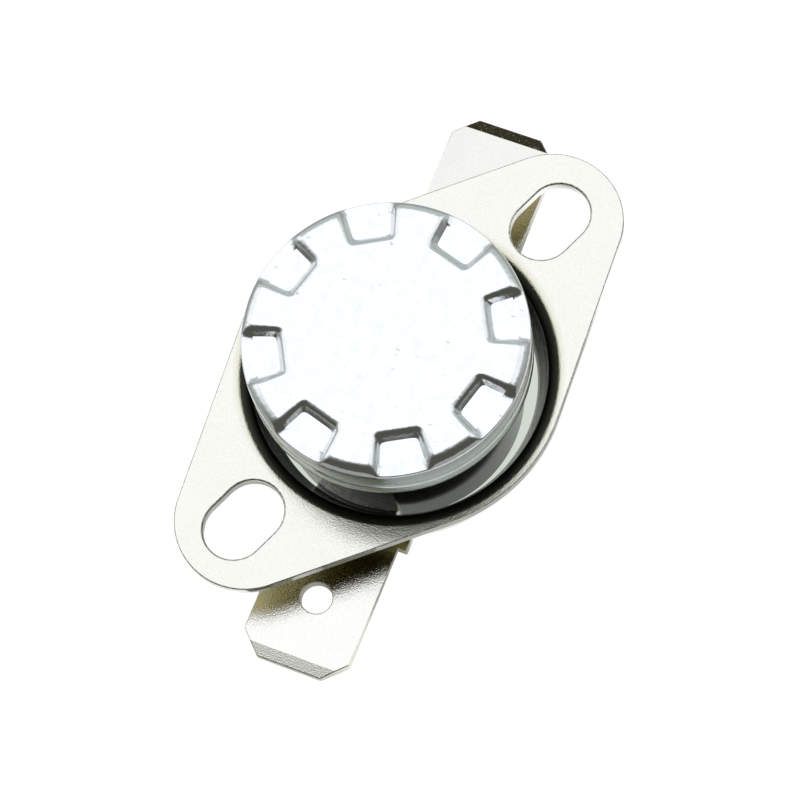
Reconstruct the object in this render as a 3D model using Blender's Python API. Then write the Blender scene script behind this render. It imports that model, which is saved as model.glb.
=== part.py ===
"""Bimetal disc thermostat of the 16 mm family: an aluminium cap with pressed pads, crimped over a
phenolic case, a loose screw-on bracket round the case's neck, two push-on tabs, and the snap
mechanism inside. The frame: origin on the cap's axis in the plane of the case's foot, +Z towards the
cap's sensing face, +X along the tab that the moving blade is not riveted to. Metres throughout."""

import math

import bmesh
import bpy
from mathutils import Matrix, Vector

MM = 0.001

# Fits
SEAT_GAP = 0.05 * MM  # between pieces that are crimped, riveted or resting on each other
RUNNING_GAP = 0.06 * MM  # round the pin in its guide, on the radius
SLIP_GAP = 0.1 * MM  # round pieces that drop into a seat
FLOAT_GAP = 0.3 * MM  # under the bracket's collar, which lies loose on the tabs
CUT_PAST = 1.0 * MM  # how far a cut runs past what it cuts

# Aluminium cap
CAP_RADIUS = 7.9 * MM
CAP_HEIGHT = 3.45 * MM
CAP_WALL = 0.45 * MM
CAP_TOP = 11.4 * MM
CAP_SHOULDER = 0.7 * MM
CRIMP_LIP = 0.3 * MM
CRIMP_ROLL = 0.15 * MM
GROOVE_DEPTH = 0.06 * MM
GROOVE_WIDTH = 0.24 * MM
GROOVE_UP = 1.3 * MM  # the fine groove's height over the cap's lower edge
PAD_COUNT = 8
PAD_TURN = math.radians(29.0)
PAD_DEPTH = 0.5 * MM
PAD_INNER_RADIUS = 5.85 * MM
PAD_WIDTH = 2.0 * MM  # at its inner end; its sides then run nearly along radii
PAD_FLARE = math.radians(10.0)
PAD_CORNER = 0.01 * MM  # the floor's nearly sharp corners
PAD_SLOPE = math.radians(55.0)  # of its walls, up from the floor
PAD_BEND = 0.45 * MM

# Phenolic case
FLANGE_STEP = 0.4 * MM  # from the neck out to the flange that the cap holds
FOOT_CHAMFER = 0.3 * MM
FLOOR_THICKNESS = 1.06 * MM
RIM_WALL = 0.6 * MM
STEP_WIDTH = 1.05 * MM  # the ledge inside the rim that the guide plate drops onto
BARRIER_WIDTH = 2.0 * MM  # the web left between the two grooves in the foot

# Terminals
TAB_UNDER = 0.64 * MM  # the tabs' underside over the foot
TAB_WIDTH = 6.3 * MM
TAB_THICKNESS = 0.8 * MM
TAB_LENGTH = 8.45 * MM  # from the stop shoulders to the tip
TIP_CORNER = 1.25 * MM
TIP_BEVEL = 1.1 * MM
TIP_DROP = 0.25 * MM
TAB_HOLE_RADIUS = 0.9 * MM
TAB_HOLE_FROM_TIP = 4.2 * MM
SHOULDER_OUT = 0.65 * MM  # from the neck to the shoulders
SHOULDER_WIDTH = 7.4 * MM
SHOULDER_LENGTH = 0.9 * MM
ROOT_WIDTH = 4.8 * MM
TAB_EDGE = 0.05 * MM

# Mounting bracket
SHEET = 0.7 * MM
SHEET_EDGE = 0.06 * MM
BRACKET_TURN = math.radians(-23.5)
BRACKET_SHIFT = (-0.44 * MM, -0.05 * MM)  # it lies loose round the neck, a little off centre
SCREW_SPACING = 24.15 * MM
EAR_RADIUS = 4.03 * MM
SLOT_WIDTH = 3.52 * MM
SLOT_LENGTH = 4.93 * MM
SLOT_ROLL = 0.12 * MM
COLLAR_PLAY = 0.7 * MM  # between the neck and the collar's lip
COLLAR_DEPTH = 2.7 * MM  # from the sheet's top to the collar's lip
MOUTH_FLARE = 1.5 * MM  # how much wider the mouth is at the sheet's top than at the lip
MOUTH_BEND = 0.85 * MM
HUB_RIM = 0.29 * MM  # from the mouth to the hub's outline

# Rivets
RIVET_RADIUS = 0.8 * MM
RIVET_HEAD_RADIUS = 1.1 * MM
RIVET_HEAD = 0.45 * MM
RIVET_ROUND = 0.13 * MM
RIVET_TAIL_RADIUS = 1.2 * MM
RIVET_TAIL = 0.4 * MM
RIVET_DIMPLE = 0.45 * MM
RIVET_DIMPLE_RADIUS = 0.6 * MM
RIVET_DIMPLE_FLOOR = 0.35 * MM

# Disc, guide plate and pin
DISC_THICKNESS = 0.15 * MM
DISC_DOME = 0.2 * MM
DISC_PLAY = 0.3 * MM  # between the disc's rim and the backs of the cap's pads
GUIDE_THICKNESS = 1.25 * MM
GUIDE_RIM = 0.4 * MM
GUIDE_RIM_WIDTH = 0.6 * MM
GUIDE_BOSS_RADIUS = 1.6 * MM
GUIDE_BOSS = 0.3 * MM
PIN_RADIUS = 0.8 * MM
PIN_CHAMFER = 0.3 * MM

# Contacts
CAVITY_CLEARANCE = 0.3 * MM  # from the cavity's wall to the strips' ends
RIVET_IN = 1.7 * MM  # from the strips' ends to the rivets
BEND_RADIUS = 0.35 * MM
BLADE_THICKNESS = 0.2 * MM
BLADE_WIDTH = 2.6 * MM
BLADE_CLAMP = 0.35 * MM  # from the rivet's head to the blade's bend
BLADE_RAMP = 0.8 * MM
BLADE_PAST = 1.0 * MM  # from the contact to the blade's free end
BRIDGE_THICKNESS = 0.4 * MM
BRIDGE_WIDTH = 2.6 * MM
BRIDGE_PAST = 1.4 * MM  # from the rivet to the bridge's inner end
CONTACT_IN = 2.1 * MM  # from the strips' ends to the contacts
CONTACT_RADIUS = 1.0 * MM
CONTACT_HEAD = 0.5 * MM
CONTACT_ROUND = 0.1 * MM
CONTACT_SHANK_RADIUS = 0.5 * MM
CONTACT_TAIL_RADIUS = 0.8 * MM
CONTACT_TAIL = 0.2 * MM
CONTACT_HEADROOM = 0.15 * MM  # from the fixed contact's tail up to the guide's boss

ROUND_STEPS = 72
PLATE_STEPS = 56
SMALL_STEPS = 28
BEND_STEPS = 4
MOUTH_STEPS = 6
SMOOTH_ANGLE = math.radians(32)

# Radii and reaches that follow from the sizes above
FLANGE_RADIUS = CAP_RADIUS - CAP_WALL - SLIP_GAP
NECK_RADIUS = FLANGE_RADIUS - FLANGE_STEP
RIM_INNER_RADIUS = FLANGE_RADIUS - RIM_WALL
CAVITY_RADIUS = RIM_INNER_RADIUS - STEP_WIDTH
GUIDE_RADIUS = RIM_INNER_RADIUS - SLIP_GAP
DISC_RADIUS = GUIDE_RADIUS - SEAT_GAP
LIP_RADIUS = NECK_RADIUS + COLLAR_PLAY
MOUTH_RADIUS = LIP_RADIUS + MOUTH_FLARE
HUB_RADIUS = MOUTH_RADIUS + HUB_RIM
SHOULDER_START = NECK_RADIUS + SHOULDER_OUT
SHOULDER_END = SHOULDER_START + SHOULDER_LENGTH
TAB_REACH = SHOULDER_END + TAB_LENGTH
STRIP_REACH = CAVITY_RADIUS - CAVITY_CLEARANCE
RIVET_AT = STRIP_REACH - RIVET_IN
CONTACT_AT = STRIP_REACH - CONTACT_IN
BLADE_ROOT_END = RIVET_AT - RIVET_HEAD_RADIUS - BLADE_CLAMP
BLADE_END = CONTACT_AT + BLADE_PAST
BRIDGE_START = RIVET_AT - BRIDGE_PAST

# Heights that follow
CAP_BOTTOM = CAP_TOP - CAP_HEIGHT
PAD_FLOOR = CAP_TOP - PAD_DEPTH
PAD_BACK = PAD_FLOOR - CAP_WALL
RIM_TOP = PAD_BACK - SEAT_GAP
FLANGE_BOTTOM = CAP_BOTTOM + CRIMP_LIP + SEAT_GAP
DISC_RIM = PAD_BACK - DISC_PLAY - DISC_THICKNESS
GUIDE_FACE = DISC_RIM - SEAT_GAP - GUIDE_RIM
PLATE_SEAT = GUIDE_FACE - GUIDE_THICKNESS
STEP_HEIGHT = PLATE_SEAT - SEAT_GAP
TAB_TOP = TAB_UNDER + TAB_THICKNESS
CHANNEL_DEPTH = TAB_TOP + SLIP_GAP
CASE_FLOOR = CHANNEL_DEPTH + FLOOR_THICKNESS
COLLAR_LIP = TAB_TOP + FLOAT_GAP
BRACKET_TOP = COLLAR_LIP + COLLAR_DEPTH
ROOT_BOTTOM = CASE_FLOOR + SEAT_GAP
BRIDGE_TOP = PLATE_SEAT - GUIDE_BOSS - CONTACT_HEADROOM - CONTACT_TAIL - SEAT_GAP
BRIDGE_UNDER = BRIDGE_TOP - BRIDGE_THICKNESS
FIXED_FACE = BRIDGE_UNDER - SEAT_GAP - CONTACT_HEAD
BLADE_TOP = FIXED_FACE - SEAT_GAP - CONTACT_HEAD - SEAT_GAP
BLADE_BOTTOM = BLADE_TOP - BLADE_THICKNESS
PIN_BOTTOM = BLADE_TOP + SEAT_GAP
PIN_TOP = DISC_RIM + DISC_DOME - SEAT_GAP


def clear_scene():
    for obj in list(bpy.data.objects):
        bpy.data.objects.remove(obj, do_unlink=True)


def material(name, color, roughness, metallic):
    made = bpy.data.materials.new(name)
    made.use_nodes = True
    shader = made.node_tree.nodes["Principled BSDF"]
    shader.inputs["Base Color"].default_value = (*color, 1.0)
    shader.inputs["Roughness"].default_value = roughness
    shader.inputs["Metallic"].default_value = metallic
    made.diffuse_color = (*color, 1.0)
    return made


def finished(name, bm, surface=None):
    """The bmesh as a linked object, welded, facing out and smooth between its sharp edges."""
    bmesh.ops.remove_doubles(bm, verts=bm.verts, dist=1e-7)
    bmesh.ops.recalc_face_normals(bm, faces=bm.faces)
    mesh = bpy.data.meshes.new(name)
    bm.to_mesh(mesh)
    bm.free()
    mesh.shade_smooth()
    mesh.set_sharp_from_angle(angle=SMOOTH_ANGLE)
    obj = bpy.data.objects.new(name, mesh)
    bpy.context.scene.collection.objects.link(obj)
    if surface:
        mesh.materials.append(surface)
    return obj


def arc(center, radius, start, end, steps):
    """Points of an arc in a plane, from angle start to angle end in degrees."""
    points = []
    for i in range(steps + 1):
        angle = math.radians(start + (end - start) * i / steps)
        points.append((center[0] + radius * math.cos(angle), center[1] + radius * math.sin(angle)))
    return points


def turned(name, profile, surface=None, steps=ROUND_STEPS, at=(0.0, 0.0)):
    """A solid of revolution about Z from a closed (radius, height) profile, or one that ends on the axis."""
    bm = bmesh.new()
    verts = [bm.verts.new((r, 0.0, z)) for r, z in profile]
    edges = [bm.edges.new(pair) for pair in zip(verts, verts[1:])]
    if profile[0][0] > 0.0 or profile[-1][0] > 0.0:
        edges.append(bm.edges.new((verts[-1], verts[0])))
    bmesh.ops.spin(
        bm,
        geom=verts + edges,
        cent=(0.0, 0.0, 0.0),
        axis=(0.0, 0.0, 1.0),
        angle=math.tau,
        steps=steps,
        use_merge=True,
    )
    bmesh.ops.translate(bm, verts=bm.verts, vec=(at[0], at[1], 0.0))
    return finished(name, bm, surface)


def lofted(bm, loops):
    """Joins closed loops of equally many points into a capped solid inside bm."""
    rings = [[bm.verts.new(point) for point in loop] for loop in loops]
    count = len(rings[0])
    for lower, upper in zip(rings, rings[1:]):
        for i in range(count):
            j = (i + 1) % count
            bm.faces.new((lower[i], lower[j], upper[j], upper[i]))
    bm.faces.new(reversed(rings[0]))
    bm.faces.new(rings[-1])


def extruded(name, outline, bottom, top, surface=None, edge=0.0):
    """A flat outline raised from bottom to top, with its edges broken by a small bevel."""
    bm = bmesh.new()
    lofted(bm, [[(x, y, z) for x, y in outline] for z in (bottom, top)])
    if edge:
        flat = [e for e in bm.edges if abs(e.verts[0].co.z - e.verts[1].co.z) < edge]
        bmesh.ops.bevel(bm, geom=flat, offset=edge, segments=2, profile=0.5, affect="EDGES")
    return finished(name, bm, surface)


def boolean(obj, tool, operation):
    """Adds a Boolean modifier, and keeps its tool out of the finished part."""
    tool.hide_render = True
    tool.display_type = "WIRE"
    step = obj.modifiers.new(tool.name, "BOOLEAN")
    step.operation = operation
    step.solver = "EXACT"
    step.object = tool
    return obj


def drill(obj, name, at, radius, bottom, top):
    hole = turned(
        name, [(0.0, bottom), (radius, bottom), (radius, top), (0.0, top)], steps=SMALL_STEPS, at=at
    )
    return boolean(obj, hole, "DIFFERENCE")


def set_origin(obj, point):
    """Moves an object's origin to a point on its joint's axis, with its shape left where it is."""
    obj.data.transform(Matrix.Translation(-Vector(point)))
    obj.location = point
    return obj


def bent_over(top, radius, slope, spread, steps):
    """(spread, height) pairs of a sloping wall's upper end, which bends outwards to a flat top."""
    start = 0.5 * math.pi - slope
    levels = []
    for i in range(steps + 1):
        angle = start + slope * i / steps
        out = radius * (math.cos(start) - math.cos(angle))
        sink = radius * (1.0 - math.sin(angle))
        levels.append((spread + out, top - sink))
    levels.append((levels[-1][0] + radius, top + radius))
    return levels


def rounded_outline(corners, spread, steps):
    """A convex outline grown by spread, with an arc of that radius round each corner."""
    points = []
    count = len(corners)
    for i, corner in enumerate(corners):
        before = corner - corners[i - 1]
        after = corners[(i + 1) % count] - corner
        start = math.degrees(math.atan2(-before.x, before.y))
        turn = math.degrees(before.angle_signed(after))
        points += arc(corner, spread, start, start - turn, steps)
    return points


def pad_corners(sideways):
    """The pad's floor, seen from above, at azimuth 0: an inner side and two flared sides past the rim."""
    inner = PAD_INNER_RADIUS
    outer = CAP_RADIUS + CAP_SHOULDER
    half = 0.5 * PAD_WIDTH
    half_out = half + (outer - inner) * math.tan(PAD_FLARE)
    inner -= sideways
    return [
        Vector((inner, -half - sideways)),
        Vector((outer, -half_out - sideways)),
        Vector((outer, half_out + sideways)),
        Vector((inner, half + sideways)),
    ]


def pad_cutter():
    """What the press takes from the outside of the cap: floors with bent-over top edges."""
    bm = bmesh.new()
    corners = pad_corners(0.0)
    rise = PAD_DEPTH - PAD_BEND * (1.0 - math.cos(PAD_SLOPE))
    spread = PAD_CORNER + rise / math.tan(PAD_SLOPE)
    levels = [(PAD_CORNER, PAD_FLOOR)]
    levels += bent_over(CAP_TOP, PAD_BEND, PAD_SLOPE, spread, BEND_STEPS)
    for index in range(PAD_COUNT):
        turn = Matrix.Rotation(PAD_TURN + math.tau * index / PAD_COUNT, 3, "Z")
        loops = []
        for spread, z in levels:
            outline = rounded_outline(corners, spread, 3)
            loops.append([turn @ Vector((x, y, z)) for x, y in outline])
        lofted(bm, loops)
    return finished("cap_pad_cutter", bm)


def pad_backs():
    """The undersides of the pads, one wall outside the pressed shape, as they stand into the cap."""
    bm = bmesh.new()
    corners = pad_corners(0.5 * CAP_WALL)
    for index in range(PAD_COUNT):
        turn = Matrix.Rotation(PAD_TURN + math.tau * index / PAD_COUNT, 3, "Z")
        outline = rounded_outline(corners, 0.5 * CAP_WALL, 3)
        levels = (PAD_BACK, CAP_TOP)
        lofted(bm, [[turn @ Vector((x, y, z)) for x, y in outline] for z in levels])
    return finished("cap_pad_backs", bm)


def cap(surface):
    """A drawn cup whose pads bear on the case's rim, with its skirt rolled in under the flange."""
    shoulder = arc((CAP_RADIUS - CAP_SHOULDER, CAP_TOP - CAP_SHOULDER), CAP_SHOULDER, 90, 0, 7)
    roll = arc((CAP_RADIUS - CRIMP_ROLL, CAP_BOTTOM + CRIMP_ROLL), CRIMP_ROLL, 0, -90, 3)
    groove = CAP_BOTTOM + GROOVE_UP
    outside = [(0.0, CAP_TOP), *shoulder]
    for up, depth in ((0.5, 0.0), (0.2, GROOVE_DEPTH), (-0.2, GROOVE_DEPTH), (-0.5, 0.0)):
        outside.append((CAP_RADIUS - depth, groove + up * GROOVE_WIDTH))
    outside += [*roll, (0.0, CAP_BOTTOM)]
    obj = turned("cap", outside, surface)
    boolean(obj, pad_cutter(), "DIFFERENCE")

    inner = CAP_RADIUS - CAP_WALL
    ceiling = CAP_TOP - CAP_WALL
    inner_shoulder = CAP_SHOULDER - CAP_WALL
    lip_radius = 0.5 * (NECK_RADIUS + FLANGE_RADIUS)
    hollow = [(0.0, ceiling)]
    hollow += arc((inner - inner_shoulder, ceiling - inner_shoulder), inner_shoulder, 90, 0, 3)
    hollow += [
        (inner, CAP_BOTTOM + CRIMP_LIP),
        (lip_radius, CAP_BOTTOM + CRIMP_LIP),
        (lip_radius, CAP_BOTTOM - CRIMP_LIP),
        (0.0, CAP_BOTTOM - CRIMP_LIP),
    ]
    inside = turned("cap_hollow", hollow)
    boolean(inside, pad_backs(), "DIFFERENCE")
    return boolean(obj, inside, "DIFFERENCE")


def case(surface):
    """The moulded case: a neck, a flange under the cap, an open cavity and grooves for the terminals."""
    profile = [
        (0.0, 0.0),
        (NECK_RADIUS - FOOT_CHAMFER, 0.0),
        (NECK_RADIUS, FOOT_CHAMFER),
        (NECK_RADIUS, FLANGE_BOTTOM),
        (FLANGE_RADIUS, FLANGE_BOTTOM),
        (FLANGE_RADIUS, RIM_TOP),
        (RIM_INNER_RADIUS, RIM_TOP),
        (RIM_INNER_RADIUS, STEP_HEIGHT),
        (CAVITY_RADIUS, STEP_HEIGHT),
        (CAVITY_RADIUS, CASE_FLOOR),
        (0.0, CASE_FLOOR),
    ]
    obj = turned("case", profile, surface)
    for side in (1, -1):
        half = 0.5 * ROOT_WIDTH + SLIP_GAP
        near = side * 0.5 * BARRIER_WIDTH
        far = side * (NECK_RADIUS + CUT_PAST)
        outline = [(near, -half), (far, -half), (far, half), (near, half)][::side]
        label = "front" if side > 0 else "back"
        groove = extruded(f"case_groove_{label}", outline, -CHANNEL_DEPTH, CHANNEL_DEPTH)
        boolean(obj, groove, "DIFFERENCE")
        hole = RIVET_RADIUS + SLIP_GAP
        top = CASE_FLOOR + CUT_PAST
        drill(obj, f"case_rivet_hole_{label}", (side * RIVET_AT, 0.0), hole, 0.0, top)
    return obj


def bracket_outline():
    """Two round ears joined to a round hub by tangents."""
    ear = 0.5 * SCREW_SPACING
    tangent = math.degrees(math.acos((HUB_RADIUS - EAR_RADIUS) / ear))
    points = arc((ear, 0.0), EAR_RADIUS, -tangent, tangent, 20)
    points += arc((0.0, 0.0), HUB_RADIUS, tangent, 180 - tangent, 12)
    points += arc((-ear, 0.0), EAR_RADIUS, 180 - tangent, 180 + tangent, 20)
    points += arc((0.0, 0.0), HUB_RADIUS, 180 + tangent, 360 - tangent, 12)
    return points


def slot_cutter(name, at):
    """A punched slot along X whose upper edge is rolled over."""
    bm = bmesh.new()
    reach = 0.5 * (SLOT_LENGTH - SLOT_WIDTH)
    levels = [(0.0, BRACKET_TOP - SHEET - CUT_PAST)]
    levels += bent_over(BRACKET_TOP, SLOT_ROLL, 0.5 * math.pi, 0.0, 2)
    loops = []
    for spread, z in levels:
        radius = 0.5 * SLOT_WIDTH + spread
        outline = arc((at + reach, 0.0), radius, -90, 90, 14)
        outline += arc((at - reach, 0.0), radius, 90, 270, 14)
        loops.append([(x, y, z) for x, y in outline])
    lofted(bm, loops)
    return finished(name, bm)


def mouth_bend():
    """The bend's middle in section, and how far it turns before the collar's straight wall, in degrees."""
    middle = (MOUTH_RADIUS, BRACKET_TOP - MOUTH_BEND)
    rise = middle[1] - COLLAR_LIP
    reach = math.hypot(MOUTH_FLARE, rise)
    lean = math.atan2(rise, MOUTH_FLARE) + math.asin(MOUTH_BEND / reach)
    return middle, math.degrees(lean)


def mouth_cutter():
    """The bracket's opening: the sheet bends down in one round, and the collar narrows to its lip."""
    above = BRACKET_TOP + CUT_PAST
    below = COLLAR_LIP - CUT_PAST
    middle, lean = mouth_bend()
    profile = [(0.0, above), (MOUTH_RADIUS + CUT_PAST, above)]
    profile += arc(middle, MOUTH_BEND, 90, 90 + lean, MOUTH_STEPS)
    profile += [(LIP_RADIUS, COLLAR_LIP), (LIP_RADIUS, below), (0.0, below)]
    return turned("bracket_mouth_cutter", profile)


def collar_blank():
    """The collar's outside, one sheet's thickness from its inside, which the mouth cutter gives."""
    inside_sheet = BRACKET_TOP - 0.5 * SHEET
    middle, lean = mouth_bend()
    outer_lip = LIP_RADIUS + SHEET / math.sin(math.radians(lean))
    profile = [(0.0, inside_sheet), (MOUTH_RADIUS, inside_sheet)]
    profile += arc(middle, MOUTH_BEND - SHEET, 90, 90 + lean, BEND_STEPS)
    profile += [(outer_lip, COLLAR_LIP + SHEET_EDGE), (outer_lip - SHEET_EDGE, COLLAR_LIP)]
    profile.append((0.0, COLLAR_LIP))
    return turned("bracket_collar_blank", profile)


def mounting_bracket(surface):
    """One pressed sheet: ears with screw slots, and a collar drawn down round the case's neck."""
    sheet = extruded(
        "mounting_bracket",
        bracket_outline(),
        BRACKET_TOP - SHEET,
        BRACKET_TOP,
        surface,
        edge=SHEET_EDGE,
    )
    blank = collar_blank()
    boolean(sheet, blank, "UNION")
    cutters = [mouth_cutter()]
    for label, side in (("a", 1), ("b", -1)):
        cutters.append(slot_cutter(f"bracket_slot_{label}", side * 0.5 * SCREW_SPACING))
    for cutter in cutters:
        boolean(sheet, cutter, "DIFFERENCE")
    for tool in (blank, *cutters):
        tool.parent = sheet
    sheet.rotation_euler.z = BRACKET_TURN
    sheet.location = (*BRACKET_SHIFT, 0.0)
    return sheet


def tip_wedge(name, side, face):
    """A block that takes one face's bevel off a tab's tip."""
    bm = bmesh.new()
    level = TAB_TOP if face > 0 else TAB_UNDER
    above = level + face * CUT_PAST
    slope = face * TIP_DROP / TIP_BEVEL
    before = TAB_REACH - TIP_BEVEL - CUT_PAST
    after = TAB_REACH + CUT_PAST
    line = [
        (before, level + slope * CUT_PAST),
        (after, level - slope * (TIP_BEVEL + CUT_PAST)),
        (after, above),
        (before, above),
    ]
    lofted(bm, [[(side * x, y, z) for x, z in line] for y in (-TAB_WIDTH, TAB_WIDTH)])
    return finished(name, bm)


def terminal(name, side, surface):
    """A push-on tab with stop shoulders, a bevelled tip, a latch hole and a narrow root under the case."""
    half = 0.5 * TAB_WIDTH
    upper = [
        (0.5 * BARRIER_WIDTH + SLIP_GAP, 0.5 * ROOT_WIDTH),
        (SHOULDER_START, 0.5 * ROOT_WIDTH),
        (SHOULDER_START, 0.5 * SHOULDER_WIDTH),
        (SHOULDER_END, 0.5 * SHOULDER_WIDTH),
        (SHOULDER_END, half),
        (TAB_REACH - TIP_CORNER, half),
        (TAB_REACH, half - TIP_CORNER),
    ]
    outline = upper + [(x, -y) for x, y in reversed(upper)]
    outline = [(side * x, y) for x, y in outline]
    obj = extruded(name, outline, TAB_UNDER, TAB_TOP, surface, edge=TAB_EDGE)
    for face, label in ((1, "top"), (-1, "under")):
        boolean(obj, tip_wedge(f"{name}_{label}_wedge", side, face), "DIFFERENCE")
    low = TAB_UNDER - CUT_PAST
    high = TAB_TOP + CUT_PAST
    hole_at = side * (TAB_REACH - TAB_HOLE_FROM_TIP)
    drill(obj, f"{name}_latch_hole", (hole_at, 0.0), TAB_HOLE_RADIUS, low, high)
    drill(obj, f"{name}_rivet_hole", (side * RIVET_AT, 0.0), RIVET_RADIUS + SLIP_GAP, low, high)
    return obj


def rivet(name, side, seat, surface):
    """A rivet through a contact piece, the case's floor and a terminal, its tail spread and dimpled."""
    head = seat + SEAT_GAP
    tail = TAB_UNDER - SEAT_GAP
    crown = head + RIVET_HEAD
    foot = tail - RIVET_TAIL
    profile = [
        (0.0, crown),
        (RIVET_HEAD_RADIUS - RIVET_ROUND, crown),
        (RIVET_HEAD_RADIUS, crown - RIVET_ROUND),
        (RIVET_HEAD_RADIUS, head),
        (RIVET_RADIUS, head),
        (RIVET_RADIUS, tail),
        (RIVET_TAIL_RADIUS, tail),
        (RIVET_TAIL_RADIUS - RIVET_ROUND, foot),
        (RIVET_DIMPLE_RADIUS, foot),
        (RIVET_DIMPLE_FLOOR, foot + RIVET_DIMPLE),
        (0.0, foot + RIVET_DIMPLE),
    ]
    return turned(name, profile, surface, SMALL_STEPS, at=(side * RIVET_AT, 0.0))


def guide_plate(surface):
    """A ceramic plate on the case's step: a raised rim for the disc, and a boss with the pin's bore."""
    bore = PIN_RADIUS + RUNNING_GAP
    rim_inner = GUIDE_RADIUS - GUIDE_RIM_WIDTH
    profile = [
        (bore, PLATE_SEAT - GUIDE_BOSS),
        (GUIDE_BOSS_RADIUS, PLATE_SEAT - GUIDE_BOSS),
        (GUIDE_BOSS_RADIUS, PLATE_SEAT),
        (GUIDE_RADIUS, PLATE_SEAT),
        (GUIDE_RADIUS, GUIDE_FACE + GUIDE_RIM),
        (rim_inner, GUIDE_FACE + GUIDE_RIM),
        (rim_inner, GUIDE_FACE),
        (bore, GUIDE_FACE),
    ]
    return turned("guide_plate", profile, surface, PLATE_STEPS)


def bimetal_disc(surface):
    """The snap disc, cool: a shallow dome towards the sensing face, its rim on the guide plate."""
    count = 8
    under = []
    for i in range(count + 1):
        r = DISC_RADIUS * i / count
        under.append((r, DISC_RIM + DISC_DOME * (1.0 - (r / DISC_RADIUS) ** 2)))
    over = [(r, z + DISC_THICKNESS) for r, z in reversed(under)]
    return turned("bimetal_disc", under + over, surface, PLATE_STEPS)


def transfer_pin(surface):
    """The ceramic pin that carries the disc's snap down to the blade."""
    edge = PIN_CHAMFER
    profile = [
        (0.0, PIN_TOP),
        (PIN_RADIUS - edge, PIN_TOP),
        (PIN_RADIUS, PIN_TOP - edge),
        (PIN_RADIUS, PIN_BOTTOM + edge),
        (PIN_RADIUS - edge, PIN_BOTTOM),
        (0.0, PIN_BOTTOM),
    ]
    return turned("transfer_pin", profile, surface, SMALL_STEPS)


def bent_strip(name, path, thickness, width, surface):
    """A strip across Y whose middle line follows path in the XZ plane, with rounded bends."""
    line = [(Vector(path[0]), (Vector(path[1]) - Vector(path[0])).normalized())]
    for before, corner, after in zip(path, path[1:], path[2:]):
        come = (Vector(corner) - Vector(before)).normalized()
        leave = (Vector(after) - Vector(corner)).normalized()
        turn = come.angle_signed(leave)
        cut = BEND_RADIUS * math.tan(abs(turn) / 2)
        start = Vector(corner) - come * cut
        side = Vector((come.y, -come.x)) * (1 if turn > 0 else -1)
        center = start + side * BEND_RADIUS
        for i in range(BEND_STEPS + 1):
            spun = Matrix.Rotation(-turn * i / BEND_STEPS, 2)
            line.append((center + spun @ (start - center), spun @ come))
    line.append((Vector(path[-1]), line[-1][1]))
    half = 0.5 * thickness
    left = [at + Vector((-way.y, way.x)) * half for at, way in line]
    right = [at - Vector((-way.y, way.x)) * half for at, way in line]
    outline = left + right[::-1]
    bm = bmesh.new()
    lofted(bm, [[(p.x, y, p.y) for p in outline] for y in (-0.5 * width, 0.5 * width)])
    return finished(name, bm, surface)


def fixed_contact_bridge(surface):
    """The strip on the first rivet: it stands up at the wall and folds back over the blade's end."""
    half = 0.5 * BRIDGE_THICKNESS
    upright = STRIP_REACH - half
    low = ROOT_BOTTOM + half
    high = BRIDGE_UNDER + half
    path = [
        (BRIDGE_START, low),
        (upright, low),
        (upright, high),
        (CONTACT_AT - CONTACT_RADIUS, high),
    ]
    obj = bent_strip("fixed_contact_bridge", path, BRIDGE_THICKNESS, BRIDGE_WIDTH, surface)
    hole = RIVET_RADIUS + SLIP_GAP
    drill(obj, "bridge_rivet_hole", (RIVET_AT, 0.0), hole, low - CUT_PAST, low + CUT_PAST)
    shank = CONTACT_SHANK_RADIUS + SEAT_GAP
    drill(obj, "bridge_contact_hole", (CONTACT_AT, 0.0), shank, high - CUT_PAST, high + CUT_PAST)
    return obj


def contact_arm(surface):
    """The spring blade on the second rivet, which holds the contacts shut until the pin bends it."""
    half = 0.5 * BLADE_THICKNESS
    path = [
        (-STRIP_REACH, ROOT_BOTTOM + half),
        (-BLADE_ROOT_END, ROOT_BOTTOM + half),
        (-BLADE_ROOT_END + BLADE_RAMP, BLADE_BOTTOM + half),
        (BLADE_END, BLADE_BOTTOM + half),
    ]
    obj = bent_strip("contact_arm", path, BLADE_THICKNESS, BLADE_WIDTH, surface)
    hole = RIVET_RADIUS + SLIP_GAP
    drill(obj, "blade_rivet_hole", (-RIVET_AT, 0.0), hole, CASE_FLOOR - CUT_PAST, ROOT_BOTTOM + CUT_PAST)
    shank = CONTACT_SHANK_RADIUS + SEAT_GAP
    low = BLADE_BOTTOM - CUT_PAST
    drill(obj, "blade_contact_hole", (CONTACT_AT, 0.0), shank, low, BLADE_TOP + CUT_PAST)
    return obj


def contact(name, seat, sheet, way, surface):
    """A silver rivet contact: a head on the seat's side, a shank through the sheet and a spread tail."""
    head = seat + way * SEAT_GAP
    face = head + way * CONTACT_HEAD
    behind = seat - way * (sheet + SEAT_GAP)
    profile = [
        (0.0, face),
        (CONTACT_RADIUS - CONTACT_ROUND, face),
        (CONTACT_RADIUS, face - way * CONTACT_ROUND),
        (CONTACT_RADIUS, head),
        (CONTACT_SHANK_RADIUS, head),
        (CONTACT_SHANK_RADIUS, behind),
        (CONTACT_TAIL_RADIUS, behind),
        (CONTACT_TAIL_RADIUS, behind - way * CONTACT_TAIL),
        (0.0, behind - way * CONTACT_TAIL),
    ]
    return turned(name, profile, surface, SMALL_STEPS, at=(CONTACT_AT, 0.0))


def blade_hinge(pieces):
    """An empty on the blade's bending line, which the blade and its contact hang from."""
    point = Vector((-BLADE_ROOT_END, 0.0, ROOT_BOTTOM + 0.5 * BLADE_THICKNESS))
    hinge = bpy.data.objects.new("blade_hinge", None)
    hinge.empty_display_size = BLADE_WIDTH
    hinge.location = point
    bpy.context.scene.collection.objects.link(hinge)
    for piece in pieces:
        piece.data.transform(Matrix.Translation(-point))
        piece.parent = hinge


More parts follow.
